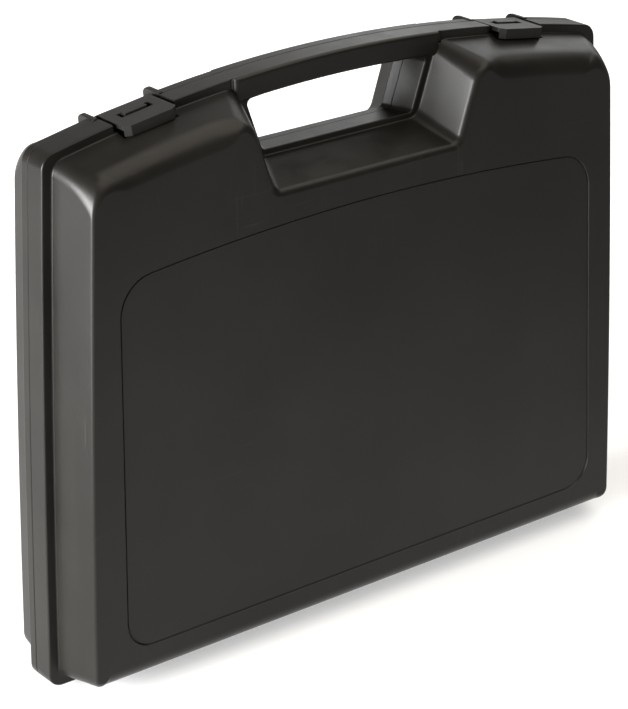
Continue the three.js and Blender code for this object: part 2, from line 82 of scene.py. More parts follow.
BACK = {
    "away": 1, "rim_y": BACK_RIM_Y, "panel_y": BACK_PANEL_Y, "start_y": SEAM_GAP,
    "rim_inset": (5.5, 5, 4), "panel_inset": (8.6, 8, 6),
    "hole_half": HOLE_BACK_HALF, "notch_spread": 5, "notch_drop": 6,
}
# The radius of the rounded edge between each body wall and the panel.
SIDE_EDGE = 1.6
TOP_EDGE = 11
BOTTOM_EDGE = 9
NOTCH_EDGE = 3
PANEL_LEAN = -1.2
RIM_EDGE = 1.0
LATCH_X = 126.5
LATCH_HALF = 16.5
POCKET_HALF = 19
EAR_THICKNESS = 3
LATCH_FRONT_Y = -21
LATCH_BACK_Y = 5.8
LATCH_TOP = -0.5
PLATE_THICKNESS = 2.4
LIP_BOTTOM = -6.3
PIVOT_Y = 9.5
PIVOT_Z = -6
BARREL_RADIUS = 2.6
HINGE_Y = 0.2
HINGE_Z = 3.6
KNUCKLE_RADIUS = 3
KNUCKLE_LENGTH = 12
HINGE_XS = {"left": -112, "middle": 0, "right": 112}
TRAY_WALL = 1.8
TRAY_RIM_Y = -9
TRAY_FLOOR_Y = FRONT_PANEL_Y + WALL + 0.6
TRAY_ROWS = (102, 186)
RIB_TOP_Y = TRAY_RIM_Y - 3
DIVIDERS_MIDDLE = (-108, -36, 36, 108)
DIVIDERS_UPPER = (-91, 91)
GUIDE_DEPTH = 2
GUIDE_WIDTH = 1.4
FOAM_FACE_Y = 13
FOAM_WAVE = 3
FOOT_X = 150


def side_x(z):
    rise = z - RIM_BOTTOM
    return HALF_WIDTH - SIDE_TAPER * rise - rise * rise / (2 * SIDE_RADIUS)


def arch_z(x):
    return ARCH_TOP - x * x / (2 * ARCH_RADIUS)


# ---------------------------------------------------------------- outlines, as (x, z) loops


def round_corner(corner, into, out, radius, steps):
    """Points of a round corner where two straight directions meet."""
    into = np.array(into, float) / np.hypot(*into)
    out = np.array(out, float) / np.hypot(*out)
    turn = math.acos(max(-1, min(1, float(into @ out))))
    side = math.copysign(1, into[0] * out[1] - into[1] * out[0])
    start = np.array(corner, float) - into * radius * math.tan(turn / 2)
    centre = start + np.array([-into[1], into[0]]) * side * radius
    points = []
    for i in range(steps + 1):
        angle = side * turn * i / steps
        c, s = math.cos(angle), math.sin(angle)
        dx, dz = start - centre
        points.append((centre[0] + c * dx - s * dz, centre[1] + s * dx + c * dz))
    return points


def spread(a, b, steps):
    """Points strictly between a and b."""
    return [a + (b - a) * i / steps for i in range(1, steps)]


def mirrored(right, middle):
    """A whole loop from its right half, going up the right side and down the left one."""
    left = [(-x, z) for x, z in reversed(right)]
    return np.array([*right, *middle, *left])


def case_right(inset, top_radius, bottom_radius):
    """The right side of the case outline, from its bottom corner to its top corner."""
    side, top, bottom = inset
    bottom_z = RIM_BOTTOM + bottom
    top_x = side_x(ARCH_TOP) - side
    for _ in range(8):
        top_x = side_x(arch_z(top_x) - top) - side
    top_z = arch_z(top_x) - top
    rise = (side_x(bottom_z + 1) - side_x(bottom_z), 1)
    lean = (side_x(top_z + 1) - side_x(top_z), 1)
    inward = (-1, top_x / ARCH_RADIUS)
    lower = round_corner((side_x(bottom_z) - side, bottom_z), (1, 0), rise, bottom_radius, 10)
    upper = round_corner((top_x, top_z), lean, inward, top_radius, 12)
    middle = [(side_x(z) - side, z) for z in spread(lower[-1][1], upper[0][1], 16)]
    return [*lower, *middle, *upper]


def case_loop(inset, top_radius, bottom_radius):
    right = case_right(inset, top_radius, bottom_radius)
    start_x = right[-1][0]
    right += [(x, arch_z(x) - inset[1]) for x in spread(start_x, 0, 30)]
    return mirrored(right, [(0, ARCH_TOP - inset[1])])


def notch_right(half, bottom_z, top_inset, shoulder_radius, bottom_radius):
    """The right side of the U-shaped notch, from its shoulder down to its bottom."""
    x = half
    for _ in range(12):
        x = half + HOLE_SLANT * (arch_z(x) - top_inset - bottom_z)
    shoulder = (x, arch_z(x) - top_inset)
    down = (-HOLE_SLANT, -1)
    upper = round_corner(shoulder, (-1, x / ARCH_RADIUS), down, shoulder_radius, 8)
    lower = round_corner((half, bottom_z), down, (-1, 0), bottom_radius, 10)
    return upper, lower


def body_loop(half, t):
    """One half's body outline with its notch, t = 0 at the rim and 1 at the panel."""
    mix = np.array(half["rim_inset"]) * (1 - t) + np.array(half["panel_inset"]) * t
    s = min(max(t, 0), 1)
    top_radius = RIM_TOP_RADIUS + (PANEL_TOP_RADIUS - RIM_TOP_RADIUS) * s ** 3
    bottom_radius = RIM_BOTTOM_RADIUS + (PANEL_BOTTOM_RADIUS - RIM_BOTTOM_RADIUS) * s
    right = case_right(mix, top_radius, bottom_radius)
    half_width = half["hole_half"] + NOTCH_LEDGE + half["notch_spread"] * t
    bottom_z = HOLE_BOTTOM_Z - NOTCH_LEDGE - half["notch_drop"] * t
    upper, lower = notch_right(half_width, bottom_z, mix[1], 9 + 5 * s, NOTCH_RADIUS - 2 * s)
    right += [(x, arch_z(x) - mix[1]) for x in spread(right[-1][0], upper[0][0], 12)]
    right += [*upper, *lower]
    right += [(x, bottom_z) for x in spread(lower[-1][0], 0, 6)]
    return mirrored(right, [(0, bottom_z)])


def hole_loop(t, grow):
    """The hand-hole's outline, t = 0 at the front rim face and 1 at the back one."""
    half = HOLE_FRONT_HALF + (HOLE_BACK_HALF - HOLE_FRONT_HALF) * t
    x = half + HOLE_SLANT * (arch_z(half) - HANDLE_HEIGHT - HOLE_BOTTOM_Z)
    lower = round_corner((half, HOLE_BOTTOM_Z), (1, 0), (HOLE_SLANT, 1), HOLE_RADIUS, 8)
    upper = round_corner((x, arch_z(x) - HANDLE_HEIGHT), (HOLE_SLANT, 1), (-1, 0), HOLE_RADIUS, 8)
    right = [*lower, *upper]
    right += [(x, arch_z(x) - HANDLE_HEIGHT) for x in spread(upper[-1][0], 0, 8)]
    loop = mirrored(right, [(0, ARCH_TOP - HANDLE_HEIGHT)])
    return offset_loop(loop, -grow)


def offset_loop(loop, by):
    """The counter-clockwise loop moved inward by a distance, with the same number of points."""
    before = loop - np.roll(loop, 1, axis=0)
    after = np.roll(loop, -1, axis=0) - loop
    before /= np.linalg.norm(before, axis=1)[:, None]
    after /= np.linalg.norm(after, axis=1)[:, None]
    tangent = before + after
    tangent /= np.linalg.norm(tangent, axis=1)[:, None]
    inward = np.stack([-tangent[:, 1], tangent[:, 0]], axis=1)
    stretch = np.clip((tangent * after).sum(1), 0.5, 1)
    return loop + inward * (by / stretch)[:, None]


# ---------------------------------------------------------------- solids in millimetres


def new_solid(name, points, faces):
    mesh = bpy.data.meshes.new(name)
    mesh.from_pydata([tuple(map(float, p)) for p in points], [], faces)
    work = bmesh.new()
    work.from_mesh(mesh)
    bmesh.ops.recalc_face_normals(work, faces=work.faces)
    work.to_mesh(mesh)
    work.free()
    solid = bpy.data.objects.new(name, mesh)
    bpy.context.scene.collection.objects.link(solid)
    return solid


def loft(name, rings):
    """A closed solid through (y, loop) rings with the same number of points."""
    count = len(rings[0][1])
    points = []
    for y, loop in rings:
        heights = np.broadcast_to(y, len(loop))
        points += [(x, h, z) for (x, z), h in zip(loop, heights)]
    faces = []
    for r in range(len(rings) - 1):
        for i in range(count):
            a = r * count + i
            b = r * count + (i + 1) % count
            faces.append((a, b, b + count, a + count))
    faces.append(tuple(range(count)))
    last = (len(rings) - 1) * count
    faces.append(tuple(range(last, last + count)))
    return new_solid(name, points, faces)


def box(name, x0, x1, y0, y1, z0, z1):
    loop = np.array([(x0, z0), (x1, z0), (x1, z1), (x0, z1)], float)
    return loft(name, [(y0, loop), (y1, loop)])


def plate_x(name, x0, x1, profile):
    """A closed (y, z) profile made into a plate between x0 and x1."""
    count = len(profile)
    points = [(x, y, z) for x in (x0, x1) for y, z in profile]
    faces = [(i, (i + 1) % count, (i + 1) % count + count, i + count) for i in range(count)]
    faces += [tuple(range(count)), tuple(range(count, 2 * count))]
    return new_solid(name, points, faces)


def bar_x(name, x0, x1, y, z, radius, segments=32, chamfer=0):
    """A round bar along X, with its ends chamfered."""
    stations = [(x0, radius - chamfer), (x0 + chamfer, radius), (x1 - chamfer, radius), (x1, radius - chamfer)]
    if chamfer == 0:
        stations = [stations[0], stations[-1]]
    points = []
    for x, r in stations:
        for i in range(segments):
            angle = 2 * math.pi * i / segments
            points.append((x, y + r * math.cos(angle), z + r * math.sin(angle)))
    faces = []
    for s in range(len(stations) - 1):
        for i in range(segments):
            a = s * segments + i
            b = s * segments + (i + 1) % segments
            faces.append((a, b, b + segments, a + segments))
    faces.append(tuple(range(segments)))
    last = (len(stations) - 1) * segments
    faces.append(tuple(range(last, last + segments)))
    return new_solid(name, points, faces)


def combine(base, tool, operation, solver="MANIFOLD"):
    modifier = base.modifiers.new("combine", "BOOLEAN")
    modifier.operation = operation
    modifier.solver = solver
    modifier.object = tool
    depsgraph = bpy.context.evaluated_depsgraph_get()
    mesh = bpy.data.meshes.new_from_object(base.evaluated_get(depsgraph))
    base.modifiers.clear()
    old = base.data
    base.data = mesh
    bpy.data.meshes.remove(old)
    tool_mesh = tool.data
    bpy.data.objects.remove(tool)
    bpy.data.meshes.remove(tool_mesh)
    return base


def join(base, *tools):
    for tool in tools:
        combine(base, tool, "UNION")
    return base


def cut(base, *tools):
    for tool in tools:
        combine(base, tool, "DIFFERENCE")
    return base


def keep(base, tool):
    return combine(base, tool, "INTERSECT")


def fillet(face_y, away, radius, steps):
    """(y, inset) pairs of a round outer edge that ends on the plane y = face_y."""
    pairs = []
    for i in range(steps + 1):
        angle = math.pi / 2 * i / steps
        pairs.append((face_y - away * radius * (1 - math.sin(angle)), radius * (1 - math.cos(angle))))
    return pairs


def modify(solid, kind, **settings):
    """Adds a modifier, applies it at once and keeps its result."""
    modifier = solid.modifiers.new(kind.lower(), kind)
    for key, value in settings.items():
        setattr(modifier, key, value)
    depsgraph = bpy.context.evaluated_depsgraph_get()
    mesh = bpy.data.meshes.new_from_object(solid.evaluated_get(depsgraph))
    solid.modifiers.clear()
    old = solid.data
    solid.data = mesh
    bpy.data.meshes.remove(old)
    return solid


def soften(solid, width, segments=2, angle=35):
    """Rounds the edges sharper than angle."""
    return modify(solid, "BEVEL", width=width, segments=segments, limit_method="ANGLE",
                  angle_limit=math.radians(angle), use_clamp_overlap=True, miter_outer="MITER_ARC")


# ---------------------------------------------------------------- case shells


def rim_solid(half, inset, face_y, edge):
    """The rim plate from the parting plane to its face."""
    away = half["away"]
    loop = case_loop((0, 0, 0), RIM_TOP_RADIUS, RIM_BOTTOM_RADIUS)
    rings = []
    if inset == 0:
        rings.append((half["start_y"], offset_loop(loop, 0.3)))
        rings.append((half["start_y"] + away * 0.3, loop))
    else:
        rings.append((half["start_y"] - away * 2, offset_loop(loop, inset)))
    for y, pull in fillet(face_y, away, edge, 5):
        rings.append((y, offset_loop(loop, inset + pull)))
    return loft("rim", rings)


def outward_normals(loop):
    tangent = np.roll(loop, -1, axis=0) - np.roll(loop, 1, axis=0)
    tangent /= np.linalg.norm(tangent, axis=1)[:, None]
    return np.stack([tangent[:, 1], -tangent[:, 0]], axis=1)


def edge_radii(half, loop):
    """How far each point of the panel's outline is rounded: by the wall that it belongs to."""
    normal = outward_normals(loop)
    up = normal[:, 1] ** 4
    end = np.where(normal[:, 1] > 0, TOP_EDGE, BOTTOM_EDGE)
    radii = SIDE_EDGE + (end - SIDE_EDGE) * up
    shoulder = half["hole_half"] + NOTCH_LEDGE + half["notch_spread"] + HOLE_SLANT * 45
    beside = np.clip((np.abs(loop[:, 0]) - shoulder) / 18, 0, 1)
    above = loop[:, 1] > HOLE_BOTTOM_Z - 20
    notch = NOTCH_EDGE + (radii - NOTCH_EDGE) * beside ** 2 * (3 - 2 * beside)
    return np.where(above, notch, radii)


def between(outlines, t):
    """Each outline point at its own t, from outlines that are evenly spaced in t."""
    last = len(outlines) - 1
    low = np.minimum((t * last).astype(int), last - 1)
    mix = (t * last - low)[:, None]
    point = np.arange(len(t))
    return outlines[low, point] * (1 - mix) + outlines[low + 1, point] * mix


def body_solid(half, inset, start_y, foot=0.8):
    """One half's body with its notch, from start_y to the panel."""
    away = half["away"]
    rim_y = half["rim_y"]
    panel_y = half["panel_y"] - away * inset
    steps = np.linspace(0, 1, 13)
    outlines = np.array([body_loop(half, t) for t in steps])
    outlines[:, :, 0] += PANEL_LEAN * (away < 0) * steps[:, None]
    radii = np.maximum(edge_radii(half, outlines[-1]) - inset, 1)
    rings = []

    def ring(y, pull):
        y = np.broadcast_to(y, radii.shape)
        t = np.clip((y - rim_y) / (half["panel_y"] - rim_y), 0, 1)
        rings.append((y, offset_loop(between(outlines, t), inset + pull)))

    if inset == 0:
        ring(start_y, -foot)
        for i in range(4):
            angle = math.pi / 2 * i / 3
            ring(rim_y + away * foot * (1 - math.cos(angle)), -foot * (1 - math.sin(angle)))
    else:
        ring(start_y, 0)
    first_y = rim_y + away * foot
    last_y = panel_y - away * radii
    for i in range(1, 12):
        ring(first_y + (last_y - first_y) * i / 12, 0)
    for i in range(10):
        angle = math.pi / 2 * i / 9
        ring(panel_y - away * radii * (1 - math.sin(angle)), radii * (1 - math.cos(angle)))
    return loft("body", rings)


def rounded_hole(face_ys, grow, edge):
    """The hand-hole's cutter between two faces, flared at each face by the edge's radius."""
    depth = BACK_RIM_Y - FRONT_RIM_Y
    low, high = face_ys
    rings = []
    stations = [(low - 6, edge)]
    for i in range(5):
        angle = math.pi / 2 * i / 4
        stations.append((low + edge * (1 - math.cos(angle)), edge * (1 - math.sin(angle))))
    for i in range(5):
        angle = math.pi / 2 * (4 - i) / 4
        stations.append((high - edge * (1 - math.cos(angle)), edge * (1 - math.sin(angle))))
    stations.append((high + 6, edge))
    for y, more in stations:
        rings.append((y, hole_loop((y - FRONT_RIM_Y) / depth, grow + more)))
    return loft("hole", rings)


def grip_solid(half, start_y):
    """The middle of the handle bar, a little proud of the rim face, with rounded edges."""
    away = half["away"]
    steps = 28
    xs = np.linspace(GRIP_HALF, -GRIP_HALF, steps)
    upper = [(x, arch_z(x)) for x in xs]
    lower = [(x, arch_z(x) - HANDLE_HEIGHT) for x in xs[::-1]]
    loop = np.array(upper + lower)
    face_y = half["rim_y"] + away * GRIP_PROUD
    rings = [(start_y, loop)]
    for y, pull in fillet(face_y, away, 2.4, 6):
        rings.append((y, offset_loop(loop, pull)))
    return loft("grip", rings)


def grip_grooves(half):
    """Cutters of the short vertical groove at each end of the grip."""
    tools = []
    for side in (-1, 1):
        x = side * (GRIP_HALF + 1.2)
        top = arch_z(x) + 2
        loop = []
        for i in range(16):
            angle = 2 * math.pi * i / 16
            loop.append((x + 0.9 * math.cos(angle), half["rim_y"] + 0.7 * math.sin(angle)))
        points = [(px, py, z) for z in (top - HANDLE_HEIGHT - 4, top) for px, py in loop]
        faces = [(i, (i + 1) % 16, (i + 1) % 16 + 16, i + 16) for i in range(16)]
        faces += [tuple(range(16)), tuple(range(16, 32))]
        tools.append(new_solid("groove", points, faces))
    return tools


def label_loop(grow):
    """The outline of the shallow label area on the front panel."""
    left = lambda z: -(167.3 - 0.01457 * (z + 3.6)) - grow
    right = lambda z: 170.06 - 0.04168 * (z + 3.6) + grow
    bottom = 28.6 - grow
    top = lambda x: 250.2 - 0.00038 * x * x + grow
    top_left = (left(240), top(left(240)))
    top_right = (right(240), top(right(240)))
    loop = round_corner((right(bottom), bottom), (1, 0), (-0.04168, 1), 17, 10)
    loop += round_corner(top_right, (-0.04168, 1), (-1, 0.12), 22, 12)
    loop += [(x, top(x)) for x in spread(loop[-1][0], top_left[0] + 22, 30)]
    loop += round_corner(top_left, (-1, -0.12), (-0.01457, -1), 22, 12)
    loop += round_corner((left(bottom), bottom), (0.01457, -1), (1, 0), 17, 10)
    return np.array(loop)


def label_recess():
    """The cutter of the shallow label area: walls that slope by 60 degrees, and a thin groove at their foot."""
    slope = math.tan(math.radians(30))
    top = label_loop(slope * (1 + LABEL_DEPTH / 2))
    foot = -slope * (LABEL_GROOVE - LABEL_DEPTH / 2)
    recess = loft("label", [(FRONT_PANEL_Y - 1, top), (FRONT_PANEL_Y + LABEL_GROOVE, label_loop(foot))])
    inner = label_loop(foot - LABEL_GROOVE_WIDTH)
    floor = loft("floor", [(FRONT_PANEL_Y + LABEL_DEPTH, inner), (FRONT_PANEL_Y + 2 * LABEL_GROOVE, inner)])
    return cut(recess, floor)


def on_rim(solid, side):
    """Moves a solid from the latch's own frame to its place on the arched rim."""
    x = side * LATCH_X
    tilt = Matrix.Rotation(math.atan(x / ARCH_RADIUS), 4, "Y")
    solid.data.transform(Matrix.Translation((x, 0, arch_z(x))) @ tilt)
    return solid


def front_pocket(side):
    half = POCKET_HALF
    narrow = LATCH_HALF + 0.6
    floor = LIP_BOTTOM - 0.9
    rim = box("pocket", -half, half, FRONT_RIM_Y, 1, floor, 6)
    return on_rim(join(rim, box("pocket", -narrow, narrow, LATCH_FRONT_Y + 1.5, -10, floor, 6)), side)


def back_pockets(side):
    half = POCKET_HALF
    plate = box("pocket", -half, half, -1, BACK_RIM_Y, -3.5, 6)
    barrel = box("pocket", -half, half, PIVOT_Y - 4, PIVOT_Y + 5, PIVOT_Z - 3.2, 6)
    return [on_rim(plate, side), on_rim(barrel, side)]


def pocket_walls(side, y0, y1, depth):
    half = POCKET_HALF + 4.5
    return on_rim(box("walls", -half, half, y0, y1, depth, 8), side)


def ear_solid(side, ear):
    """One ear beside a latch, with its back corner rounded off."""
    x0 = ear * POCKET_HALF
    x1 = ear * (POCKET_HALF + EAR_THICKNESS)
    profile = [(SEAM_GAP, -8), (SEAM_GAP, 0.3), (11.6, 0.3)]
    profile += [(11.6 + 4.4 * math.sin(a), -4.1 + 4.4 * math.cos(a)) for a in np.linspace(0.15, math.pi / 2, 9)]
    profile += [(16, -8)]
    solid = plate_x("ear", min(x0, x1), max(x0, x1), profile)
    soften(solid, 0.5, 3)
    return on_rim(solid, side)


def knuckle_spans(owner, x):
    half = KNUCKLE_LENGTH / 2
    if owner == "front":
        return [(x - half, x + half)]
    near = half + GAP
    return [(x - near - KNUCKLE_LENGTH, x - near), (x + near, x + near + KNUCKLE_LENGTH)]


def hinge_knuckles(owner):
    away = -1 if owner == "front" else 1
    solids = []
    for x in HINGE_XS.values():
        for x0, x1 in knuckle_spans(owner, x):
            y0, y1 = sorted((HINGE_Y, HINGE_Y + away * 5.5))
            solids.append(bar_x("knuckle", x0, x1, HINGE_Y, HINGE_Z, KNUCKLE_RADIUS, 32, 0.3))
            solids.append(box("web", x0 + 0.2, x1 - 0.2, y0, y1, HINGE_Z - 1, RIM_BOTTOM + 1))
    return solids


def hinge_relief(owner):
    other = "back" if owner == "front" else "front"
    solids = []
    for x in HINGE_XS.values():
        for x0, x1 in knuckle_spans(other, x):
            solids.append(bar_x("relief", x0 - GAP, x1 + GAP, HINGE_Y, HINGE_Z, KNUCKLE_RADIUS + GAP))
        reach = KNUCKLE_LENGTH * 1.5 + GAP + 6
        solids.append(bar_x("bore", x - reach, x + reach, HINGE_Y, HINGE_Z, 1.4, 24))
    return solids


def cavity_solid(half):
    """The inside of a shell: the body's hollow joined with the rim's."""
    away = half["away"]
    inner_face = half["rim_y"] - away * WALL
    body = body_solid(half, WALL, -away * 2)
    rim = rim_solid({**half, "start_y": 0}, WALL, inner_face, 0.6)
    hole = rounded_hole((-30, 30), WALL, 0.01)
    return join(cut(rim, hole), body)


def front_shell():
    shell = rim_solid(FRONT, 0, FRONT_RIM_Y, RIM_EDGE)
    join(shell, body_solid(FRONT, 0, -6))
    join(shell, grip_solid(FRONT, -3))
    cut(shell, *grip_grooves(FRONT))
    cavity = cavity_solid(FRONT)
    for side in (-1, 1):
        cut(cavity, pocket_walls(side, LATCH_FRONT_Y - 2, 3, LIP_BOTTOM - 0.9 - WALL))
    cut(shell, cavity)
    cut(shell, rounded_hole((FRONT_RIM_Y, 6), 0, 0.9))
    for side in (-1, 1):
        cut(shell, front_pocket(side))
    join(shell, *hinge_knuckles("front"))
    cut(shell, *hinge_relief("front"), label_recess())
    return shell


def back_shell():
    shell = rim_solid(BACK, 0, BACK_RIM_Y, RIM_EDGE)
    join(shell, body_solid(BACK, 0, 3))
    join(shell, grip_solid(BACK, 3))
    cavity = cavity_solid(BACK)
    for side in (-1, 1):
        cut(cavity, pocket_walls(side, -3, 18.5, PIVOT_Z - 3.2 - WALL))
    cut(shell, cavity)
    cut(shell, rounded_hole((-6, BACK_RIM_Y), 0, 0.9))
    for side in (-1, 1):
        for ear in (-1, 1):
            join(shell, ear_solid(side, ear))
        cut(shell, *back_pockets(side))
        half = POCKET_HALF + EAR_THICKNESS + 2
        cut(shell, on_rim(bar_x("bore", -half, half, PIVOT_Y, PIVOT_Z, 1.3, 24), side))
    join(shell, *hinge_knuckles("back"))
    cut(shell, *hinge_relief("back"))
    return shell


# ---------------------------------------------------------------- latches and pins


def latch_solid(side):
    """A latch: plate with chamfered front corners, lip, slot with a bar, and a round pivot barrel."""
    underside = LATCH_TOP - PLATE_THICKNESS
    lip_in = LATCH_FRONT_Y + 2.6
    profile = [
        (LATCH_FRONT_Y, LIP_BOTTOM), (LATCH_FRONT_Y, LATCH_TOP), (LATCH_BACK_Y - 0.4, LATCH_TOP),
        (LATCH_BACK_Y + 0.6, LATCH_TOP - 0.6), (PIVOT_Y + 0.8, PIVOT_Z + BARREL_RADIUS - 0.2),
        (PIVOT_Y, PIVOT_Z - 1), (PIVOT_Y - 2, PIVOT_Z), (PIVOT_Y - 3.2, underside),
        (lip_in, underside), (lip_in, LIP_BOTTOM),
    ]
    latch = plate_x("latch", -LATCH_HALF, LATCH_HALF, profile)
    for corner in (-1, 1):
        x = corner * LATCH_HALF
        loop = [(x - corner * 4.6, LATCH_FRONT_Y - 1), (x + corner, LATCH_FRONT_Y - 1), (x + corner, LATCH_FRONT_Y + 3.6)]
        points = [(px, py, z) for z in (-9, 3) for px, py in loop]
        faces = [(0, 1, 2), (3, 4, 5), (0, 1, 4, 3), (1, 2, 5, 4), (2, 0, 3, 5)]
        cut(latch, new_solid("chamfer", points, faces))
    cut(latch, box("slot", -10, 10, -8.2, -2.6, underside - 1, LATCH_TOP + 1))
    soften(latch, 0.55, 3)
    bar = box("bar", -7, 7, -6.6, -2.2, underside, LATCH_TOP + 0.6)
    soften(bar, 0.4, 3)
    barrel = bar_x("barrel", -POCKET_HALF + GAP, POCKET_HALF - GAP, PIVOT_Y, PIVOT_Z, BARREL_RADIUS, 40, 0.3)
    join(latch, bar, barrel)
    cut(latch, bar_x("bore", -POCKET_HALF, POCKET_HALF, PIVOT_Y, PIVOT_Z, 1.3, 24))
    return on_rim(latch, side)


def latch_pin(side):
    half = POCKET_HALF + EAR_THICKNESS - 0.3
    return on_rim(bar_x("pin", -half, half, PIVOT_Y, PIVOT_Z, 1, 28, 0.25), side)


def hinge_pin(x):
    half = KNUCKLE_LENGTH * 1.5 + GAP
    return bar_x("pin", x - half, x + half, HINGE_Y, HINGE_Z, 1.1, 28, 0.25)


# ---------------------------------------------------------------- tray, dividers, foam and feet


def latch_room(side, extra):
    half = POCKET_HALF + 6 + extra
    return on_rim(box("room", -half, half, -60, 60, -22 - extra, 20), side)


def tray_walls(extra):
    inset = WALL + 0.6 + extra
    body = body_solid(FRONT, inset, 2)
    cut(body, rounded_hole((-30, 30), inset, 0.01))
    return cut(body, latch_room(-1, extra), latch_room(1, extra))


def tray_solid():
    tray = keep(tray_walls(0), box("slab", -210, 210, TRAY_FLOOR_Y - 5, TRAY_RIM_Y, 0, 340))
    cut(tray, tray_walls(TRAY_WALL))
    for z in TRAY_ROWS:
        rib = box("rib", -195, 195, TRAY_FLOOR_Y + TRAY_WALL / 2, RIB_TOP_Y, z - TRAY_WALL / 2, z + TRAY_WALL / 2)
        scoop = []
        for i in range(40):
            angle = 2 * math.pi * i / 40
            scoop.append((13 * math.cos(angle), RIB_TOP_Y + 13 * math.sin(angle)))
        points = [(px, py, pz) for pz in (z - 4, z + 4) for px, py in scoop]
        faces = [(i, (i + 1) % 40, (i + 1) % 40 + 40, i + 40) for i in range(40)]
        faces += [tuple(range(40)), tuple(range(40, 80))]
        cut(rib, new_solid("scoop", points, faces))
        join(tray, keep(rib, tray_walls(TRAY_WALL / 2)))
    for x in DIVIDERS_MIDDLE:
        join(tray, *guides(x, TRAY_ROWS[0], 1), *guides(x, TRAY_ROWS[1], -1))
    for x in DIVIDERS_UPPER:
        join(tray, *guides(x, TRAY_ROWS[1], 1))
    return soften(tray, 0.35, 2, 50)


def guides(x, z, side):
    """The two small guide ribs that hold a divider's end against a tray rib."""
    z0, z1 = sorted((z, z + side * (TRAY_WALL / 2 + GUIDE_DEPTH)))
    solids = []
    for way in (-1, 1):
        x0, x1 = sorted((x + way * (1 + GAP), x + way * (1 + GAP + GUIDE_WIDTH)))
        solids.append(box("guide", x0, x1, TRAY_FLOOR_Y + TRAY_WALL / 2, RIB_TOP_Y - 1, z0, z1))
    return solids


def divider_solid(x, z0, z1):
    low = z0 + TRAY_WALL / 2 + GAP
    high = z1 - TRAY_WALL / 2 - GAP
    plate = box("divider", x - 1, x + 1, TRAY_FLOOR_Y + TRAY_WALL + GAP, TRAY_RIM_Y - 4, low, high)
    return soften(plate, 0.5, 3)


def foam_solid():
    inset = WALL + 1
    body = body_solid(BACK, inset, 2)
    cut(body, rounded_hole((-30, 30), inset, 0.01))
    cut(body, latch_room(-1, 0), latch_room(1, 0))
    return keep(body, wavy_slab())


def wavy_slab():
    """A slab with rows of round foam bumps on its front face."""
    columns = np.arange(-212, 213, 4.0)
    rows = np.arange(-2, 343, 4.0)
    points = []
    for z in rows:
        for x in columns:
            bumps = 0.5 + 0.5 * math.cos(math.pi * x / 14) * math.cos(math.pi * z / 14)
            points.append((x, FOAM_FACE_Y + FOAM_WAVE * (1 - bumps), z))
    count = len(points)
    points += [(x, 40, z) for x, _, z in points]
    wide = len(columns)
    tall = len(rows)
    faces = []
    for i in range(tall - 1):
        for j in range(wide - 1):
            a = i * wide + j
            quad = (a, a + 1, a + wide + 1, a + wide)
            faces.append(quad)
            faces.append(tuple(count + k for k in reversed(quad)))
    edge = [*range(wide), *range(2 * wide - 1, count, wide)]
    edge += [*range(count - 2, count - wide - 1, -1), *range(count - 2 * wide, 0, -wide)]
    for a, b in zip(edge, edge[1:] + edge[:1]):
        faces.append((a, b, b + count, a + count))
    return new_solid("slab", points, faces)


def foot_solid(profile, side):
    x0 = side * FOOT_X - 17
    return soften(plate_x("foot", x0, x0 + 34, profile), 0.6, 3)


# ---------------------------------------------------------------- materials


def material(name):
    made = bpy.data.materials.new(name)
    made.use_nodes = True
    nodes = made.node_tree.nodes
    links = made.node_tree.links
    shader = nodes["Principled BSDF"]
    place = nodes.new("ShaderNodeTexCoord")
    return made, nodes, links, shader, place


def noise(nodes, links, place, scale, detail=3, stretch=(1, 1, 1)):
    mapping = nodes.new("ShaderNodeMapping")
    mapping.inputs["Scale"].default_value = stretch
    links.new(place.outputs["Object"], mapping.inputs["Vector"])
    texture = nodes.new("ShaderNodeTexNoise")
    texture.inputs["Scale"].default_value = scale
    texture.inputs["Detail"].default_value = detail
    links.new(mapping.outputs["Vector"], texture.inputs["Vector"])
    return texture.outputs["Fac"]


def ramp(nodes, links, source, low, high, a, b):
    """Maps low..high of the source to a..b."""
    node = nodes.new("ShaderNodeMapRange")
    node.inputs["From Min"].default_value = low
    node.inputs["From Max"].default_value = high
    node.inputs["To Min"].default_value = a
    node.inputs["To Max"].default_value = b
    links.new(source, node.inputs["Value"])
    return node.outputs["Result"]


def arithmetic(nodes, links, operation, a, b):
    node = nodes.new("ShaderNodeMath")
    node.operation = operation
    links.new(a, node.inputs[0])
    links.new(b, node.inputs[1])
    return node.outputs["Value"]


def add(nodes, links, a, b):
    return arithmetic(nodes, links, "ADD", a, b)


def multiply(nodes, links, a, b):
    return arithmetic(nodes, links, "MULTIPLY", a, b)


def scratches(nodes, links, place, stretch):
    """A mask of rare thin marks along one direction."""
    streak = noise(nodes, links, place, 700, 2, stretch)
    patch = noise(nodes, links, place, 22, 2)
    line = ramp(nodes, links, streak, 0.66, 0.72, 0, 1)
    return multiply(nodes, links, line, ramp(nodes, links, patch, 0.52, 0.62, 0, 1))


def along(nodes, links, place, direction):
    """How far each point lies along a direction."""
    node = nodes.new("ShaderNodeVectorMath")
    node.operation = "DOT_PRODUCT"
    node.inputs[1].default_value = direction
    links.new(place.outputs["Object"], node.inputs[0])
    return node.outputs["Value"]


def blend_colour(nodes, links, factor, dark, light):
    node = nodes.new("ShaderNodeMix")
    node.data_type = "RGBA"
    node.inputs["A"].default_value = (*dark, 1)
    node.inputs["B"].default_value = (*light, 1)
    links.new(factor, node.inputs["Factor"])
    return node.outputs["Result"]


def bump(nodes, links, height, distance, strength, below=None):
    node = nodes.new("ShaderNodeBump")
    node.inputs["Distance"].default_value = distance
    node.inputs["Strength"].default_value = strength
    links.new(height, node.inputs["Height"])
    if below is not None:
        links.new(below, node.inputs["Normal"])
    return node.outputs["Normal"]


